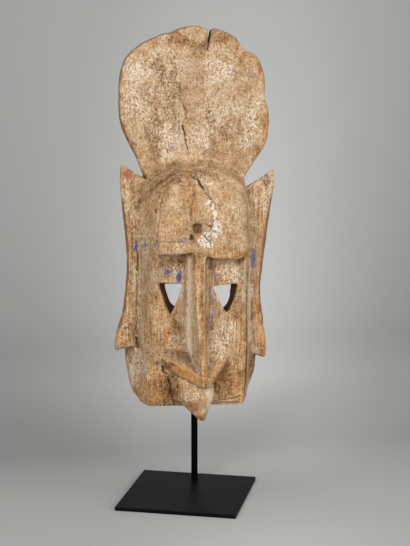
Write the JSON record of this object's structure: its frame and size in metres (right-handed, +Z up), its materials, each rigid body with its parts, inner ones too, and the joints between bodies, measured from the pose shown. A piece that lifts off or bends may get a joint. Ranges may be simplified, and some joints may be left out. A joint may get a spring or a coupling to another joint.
{
  "type": "dogon mask",
  "caption": "Carved wooden face mask with a tall crest board, side flanges and a hollow back, held up by a rod on a square steel plate.",
  "frame": {"origin": "centre of the stand plate's underside", "axes": "+Z up along the rod and the height of the mask, -Y the way the mask faces, +X to the right for someone looking at its face"},
  "size_m": [0.2621, 0.2348, 0.7027],
  "materials": {
    "carved_wood": "dry weathered light wood with worn pale, blue and red-brown pigment",
    "black_steel": "satin black paint"
  },
  "bodies": {
    "root": {"mask": "carved_wood", "stand_rod": "black_steel", "stand_plate": "black_steel"}
  },
  "joints": []
}
